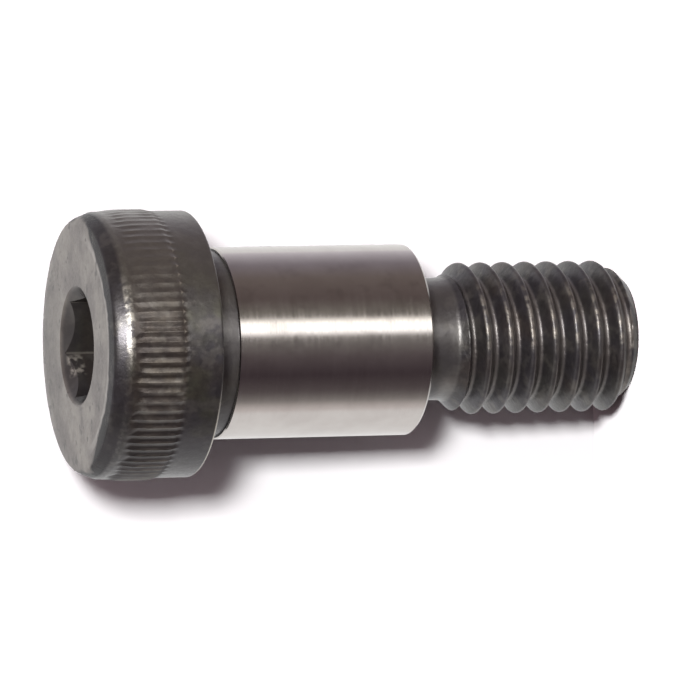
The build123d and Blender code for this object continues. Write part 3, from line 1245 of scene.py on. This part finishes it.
@dataclass
class Studio:
    """Pale floor, a leaning card behind the bolt, a soft lamp, and dark cards that metal reflects."""

    view: Viewpoint = field(default_factory=Viewpoint)
    paper: str = "#f6f5f6"
    floor_half: float = 1500.0
    fade: tuple[float, float] = (70.0, 150.0)  # distances at which the paper turns plain white
    card_half: float = 900.0
    card_slope: float = 0.127  # from the thread's crests to the edge of the bearing face
    card_gap: float = 6.45  # from the axis, at the tip
    floor_gain: float = 2.55  # the lamp lights the floor at a glancing angle
    bounce: float = 0.25  # of the light that paper would throw into the shadow
    card_gain: float = 1.16
    lamp_distance: float = 0.8  # in metres, as the lamp's width is
    lamp_elevation: float = 25.0
    lamp_turn: float = 11.8  # from the front toward +X
    lamp_width: float = 0.115
    lamp_level: float = 0.95  # of white paper that faces the lamp
    lamp_aim: float = 8.0  # height of the point that the lamp faces
    ambient_level: float = 0.62  # at its brightest, falling to nothing behind the bolt
    ambient_toward: tuple[float, float, float] = (0.62, -0.72, 0.32)  # where it is brightest
    card_glow: float = 0.08  # what metal by the shadow throws into it
    ceiling_level: float = 0.45  # of the room straight up, as metal shows it
    ambient: str = "#ffdee8"
    tent_radius: float = 430.0
    tent_degrees: tuple[float, float] = (-92.0, 136.0)  # its two edges, from the front toward +X
    tent_reach: float = 2.2  # up and down from the origin, as a share of its radius
    strip_level: float = 2.3  # of white

    def build(self) -> None:
        """Make the stage, the lamps, the world and the camera."""
        scene = bpy.context.scene
        scene.view_settings.view_transform = "Standard"
        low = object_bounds()[0][2] / METRES
        self._floor(low)
        self._card(low)
        self._tent()
        self._lamps()
        self._world()
        self.view.build()

    def _stage_mesh(self, name: str, points: np.ndarray, faces: np.ndarray) -> bpy.types.Object:
        """Make a stage object.

        Args:
            name: Name of the object.
            points: In millimetres, one to a row.
            faces: Point numbers, one face to a row.

        Returns:
            The object, without a material.
        """
        mesh = bpy.data.meshes.new(name)
        mesh.from_pydata((points * METRES).tolist(), [], faces.tolist())
        made = bpy.data.objects.new(name, mesh)
        bpy.context.scene.collection.objects.link(made)
        made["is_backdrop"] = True
        return made

    def _paper(self, name: str, gain: float) -> tuple[bpy.types.Material, bpy.types.NodeSocket]:
        """Matt paper, which fades to plain white away from the bolt, where the lamp falls short.

        Args:
            name: Name of the material.
            gain: How many times paler than white the camera sees it, under light that falls short.

        Returns:
            The material, and the socket of its shader.
        """
        material = bpy.data.materials.new(name)
        material.use_nodes = True
        tree = material.node_tree
        tree.nodes.clear()
        path = add_node(tree, "ShaderNodeLightPath")
        seen = path.outputs["Is Camera Ray"]
        times = add_node(tree, "ShaderNodeMapRange", {"Value": seen, 3: self.bounce, 4: gain})
        colour = add_node(
            tree, "ShaderNodeVectorMath", {0: linear(self.paper)[:3], "Scale": times.outputs[0]},
            operation="SCALE",
        )
        matt = add_node(tree, "ShaderNodeBsdfDiffuse", {"Color": colour.outputs[0]})
        place = add_node(tree, "ShaderNodeTexCoord").outputs["Object"]
        reach = add_node(tree, "ShaderNodeVectorMath", {0: place}, operation="LENGTH")
        near, far = (each * METRES for each in self.fade)
        white = add_node(
            tree, "ShaderNodeMapRange",
            {"Value": reach.outputs["Value"], 1: near, 2: far, 3: 0.0, 4: seen},
            interpolation_type="SMOOTHSTEP",
        )
        glow = add_node(tree, "ShaderNodeEmission", {"Color": linear("#ffffff"), "Strength": 1.0})
        shader = add_node(
            tree, "ShaderNodeMixShader", {0: white.outputs[0], 1: matt.outputs[0], 2: glow.outputs[0]}
        )
        return material, shader.outputs[0]

    def _floor(self, low: float) -> None:
        """Lay the floor under the tip. Metal sees past it to the room.

        Args:
            low: Height of the tip in millimetres.
        """
        h = self.floor_half
        points = np.array([[-h, -h, low], [h, -h, low], [h, h, low], [-h, h, low]])
        floor = self._stage_mesh("floor", points, np.array([[0, 1, 2, 3]]))
        material, paper = self._paper("floor_paper", self.floor_gain)
        tree = material.node_tree
        path = add_node(tree, "ShaderNodeLightPath")
        clear = add_node(tree, "ShaderNodeBsdfTransparent")
        shader = add_node(
            tree, "ShaderNodeMixShader",
            {0: path.outputs["Is Glossy Ray"], 1: paper, 2: clear.outputs[0]},
        )
        add_node(tree, "ShaderNodeOutputMaterial", {"Surface": shader.outputs[0]})
        floor.data.materials.append(material)

    def _card(self, low: float) -> None:
        """Lean a card behind the bolt. It shows from the front alone, and takes the shadow.

        Args:
            low: Height of the tip in millimetres.
        """
        h = self.card_half
        foot, top = self.card_gap, self.card_gap + h * self.card_slope
        points = np.array([[-h, foot, low], [h, foot, low], [h, top, low + h], [-h, top, low + h]])
        card = self._stage_mesh("card", points, np.array([[0, 1, 2, 3]]))
        material, paper = self._paper("card_paper", self.card_gain)
        tree = material.node_tree
        path = add_node(tree, "ShaderNodeLightPath")
        side = add_node(tree, "ShaderNodeNewGeometry")
        front = add_node(
            tree, "ShaderNodeMath", {0: 1.0, 1: side.outputs["Backfacing"]}, operation="SUBTRACT"
        )
        shown = add_node(
            tree, "ShaderNodeMath", {0: path.outputs["Is Camera Ray"], 1: front.outputs[0]},
            operation="MULTIPLY",
        )
        clear = add_node(tree, "ShaderNodeBsdfTransparent")
        shader = add_node(
            tree, "ShaderNodeMixShader", {0: shown.outputs[0], 1: clear.outputs[0], 2: paper}
        )
        add_node(tree, "ShaderNodeOutputMaterial", {"Surface": shader.outputs[0]})
        card.data.materials.append(material)

    def _tent(self) -> None:
        """Set cards round the front of the bolt, dark but for one strip of light.

        They are part of a cylinder about the axis, and only reflections see them. Behind them and
        behind the bolt, metal sees the white of the room.
        """
        start, end = np.radians(self.tent_degrees)
        turn = np.linspace(start, end, 97)
        height = np.linspace(-self.tent_reach, self.tent_reach, 12) * self.tent_radius
        grid_turn, grid_height = np.meshgrid(turn, height)
        x, y = np.sin(grid_turn) * self.tent_radius, -np.cos(grid_turn) * self.tent_radius
        points = np.stack([x, y, grid_height], axis=-1).reshape(-1, 3)
        index = np.arange(grid_turn.size).reshape(grid_turn.shape)
        corners = [index[:-1, :-1], index[:-1, 1:], index[1:, 1:], index[1:, :-1]]
        tent = self._stage_mesh("cards", points, np.stack(corners, axis=-1).reshape(-1, 4))
        tent.visible_camera = tent.visible_diffuse = tent.visible_shadow = False
        tent.visible_transmission = tent.visible_volume_scatter = False

        material = bpy.data.materials.new("studio_cards")
        material.use_nodes = True
        tree = material.node_tree
        tree.nodes.clear()
        place = add_node(tree, "ShaderNodeTexCoord").outputs["Object"]
        split = add_node(tree, "ShaderNodeSeparateXYZ", {0: place})
        front = add_node(tree, "ShaderNodeMath", {0: split.outputs["Y"], 1: -1.0}, operation="MULTIPLY")
        turned = add_node(
            tree, "ShaderNodeMath", {0: split.outputs["X"], 1: front.outputs[0]}, operation="ARCTAN2"
        )
        share = add_node(
            tree, "ShaderNodeMapRange", {"Value": turned.outputs[0], 1: float(start), 2: float(end)}
        ).outputs[0]

        def at(degrees: float) -> float:
            """Where a direction, in degrees from the front toward +X, lies along the cards."""
            return (np.radians(degrees) - start) / (end - start)

        cards = add_node(
            tree, "ShaderNodeValToRGB", {0: share},
            stops=[
                (at(-91), "#efe9e8"), (at(-84), "#d8d2d0"), (at(-75), "#94908e"),
                (at(-62), "#645c5e"), (at(-40), "#483e43"), (at(-18), "#655c5f"),
                (at(0), "#85817f"), (at(34), "#84807a"), (at(52), "#6b605f"),
                (at(82), "#7d7370"), (at(106), "#958e96"), (at(120), "#bdb8c0"),
                (at(135), "#e6e2ea"),
            ],
        )
        strip = add_node(
            tree, "ShaderNodeValToRGB", {0: share},
            stops=[(at(6), "#000000"), (at(12), "#ffffff"), (at(22), "#fffdf8"), (at(29), "#000000")],
        )
        # The strip is tall but not endless, so that flanks which face up or down miss it. The cards
        # themselves are paler low down.
        radius = self.tent_radius * METRES
        off_middle = add_node(tree, "ShaderNodeMath", {0: split.outputs["Z"]}, operation="ABSOLUTE")
        reach = add_node(
            tree, "ShaderNodeMapRange",
            {"Value": off_middle.outputs[0], 1: 0.8 * radius, 2: 0.3 * radius, 3: 0.0, 4: self.strip_level},
            interpolation_type="SMOOTHSTEP",
        )
        lit = add_node(
            tree, "ShaderNodeEmission", {"Color": strip.outputs[0], "Strength": reach.outputs[0]}
        )
        low = add_node(
            tree, "ShaderNodeMapRange",
            {"Value": split.outputs["Z"], 1: -0.5 * radius, 2: -1.3 * radius, 3: 1.0, 4: 2.0},
        )
        dark = add_node(tree, "ShaderNodeEmission", {"Color": cards.outputs[0], "Strength": low.outputs[0]})
        both = add_node(tree, "ShaderNodeAddShader", {0: lit.outputs[0], 1: dark.outputs[0]})
        path = add_node(tree, "ShaderNodeLightPath")
        plain = add_node(
            tree, "ShaderNodeEmission",
            {"Color": linear(self.ambient), "Strength": self.card_glow},
        )
        shown = add_node(
            tree, "ShaderNodeMixShader",
            {0: seen_in_metal(tree, path), 1: plain.outputs[0], 2: both.outputs[0]},
        )
        add_node(tree, "ShaderNodeOutputMaterial", {"Surface": shown.outputs[0]})
        tent.data.materials.append(material)

    def _lamps(self) -> None:
        """Hang one soft lamp in front, above and a little to the +X side.

        Its power is what lights white paper that faces it to the lamp's level: pi squared times
        the distance squared times that level.
        """
        lamp_data = bpy.data.lights.new("key", "AREA")
        lamp_data.shape = "SQUARE"
        lamp_data.size = self.lamp_width
        lamp_data.energy = self.lamp_level * (np.pi * self.lamp_distance) ** 2
        lamp = bpy.data.objects.new("key", lamp_data)
        bpy.context.scene.collection.objects.link(lamp)
        aim = Vector((0, 0, self.lamp_aim * METRES))
        rise, turn = np.radians(self.lamp_elevation), np.radians(self.lamp_turn)
        away = Vector((np.sin(turn) * np.cos(rise), -np.cos(turn) * np.cos(rise), np.sin(rise)))
        lamp.location = aim + away * self.lamp_distance
        lamp.rotation_euler = (aim - lamp.location).to_track_quat("-Z", "Y").to_euler()

    def _world(self) -> None:
        """Make the room: white as the camera, glass and metal see it, and a soft light on the rest.

        Straight up and straight down, metal sees it darker. The soft light is brightest from one
        direction in front, and falls away from there.
        """
        world = bpy.data.worlds.new("studio")
        bpy.context.scene.world = world
        world.use_nodes = True
        tree = world.node_tree
        tree.nodes.clear()
        path = add_node(tree, "ShaderNodeLightPath")
        seen = add_node(
            tree, "ShaderNodeMath",
            {0: path.outputs["Is Camera Ray"], 1: path.outputs["Is Transmission Ray"]},
            operation="MAXIMUM",
        )
        seen = add_node(
            tree, "ShaderNodeMath", {0: seen.outputs[0], 1: seen_in_metal(tree, path)}, operation="MAXIMUM"
        )
        place = add_node(tree, "ShaderNodeTexCoord").outputs["Generated"]
        toward = add_node(tree, "ShaderNodeSeparateXYZ", {0: place})
        steep = add_node(tree, "ShaderNodeMath", {0: toward.outputs["Z"]}, operation="ABSOLUTE")
        ceiling = add_node(
            tree, "ShaderNodeMapRange",
            {"Value": steep.outputs[0], 1: 0.6, 2: 0.9, 3: 1.0, 4: self.ceiling_level},
        )
        bright = add_node(
            tree, "ShaderNodeMapRange",
            {"Value": path.outputs["Is Glossy Ray"], 3: 1.0, 4: ceiling.outputs[0]},
        )
        brightest = Vector(self.ambient_toward).normalized()
        near = add_node(
            tree, "ShaderNodeVectorMath", {0: place, 1: brightest}, operation="DOT_PRODUCT"
        ).outputs["Value"]
        front = add_node(
            tree, "ShaderNodeMapRange", {"Value": near, 1: 0.3, 2: 1.0, 3: 0.0, 4: self.ambient_level}
        )
        strength = add_node(
            tree, "ShaderNodeMapRange",
            {"Value": seen.outputs[0], 3: front.outputs[0], 4: bright.outputs[0]},
        )
        tint = add_node(
            tree, "ShaderNodeMix", {0: seen.outputs[0], 6: linear(self.ambient), 7: linear("#ffffff")},
            data_type="RGBA",
        )
        back = add_node(
            tree, "ShaderNodeBackground", {"Color": tint.outputs[2], "Strength": strength.outputs[0]}
        )
        add_node(tree, "ShaderNodeOutputWorld", {"Surface": back.outputs[0]})


def corners(box: tuple) -> list[list[float]]:
    """A box as plain lists of numbers."""
    return [[float(value) for value in corner] for corner in box]


def main() -> None:
    """Load the frame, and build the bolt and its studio."""
    logging.basicConfig(level=logging.INFO, format="%(name)s: %(message)s")
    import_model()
    ShoulderBolt().build()
    Studio().build()


if __name__ == "__main__":
    main()
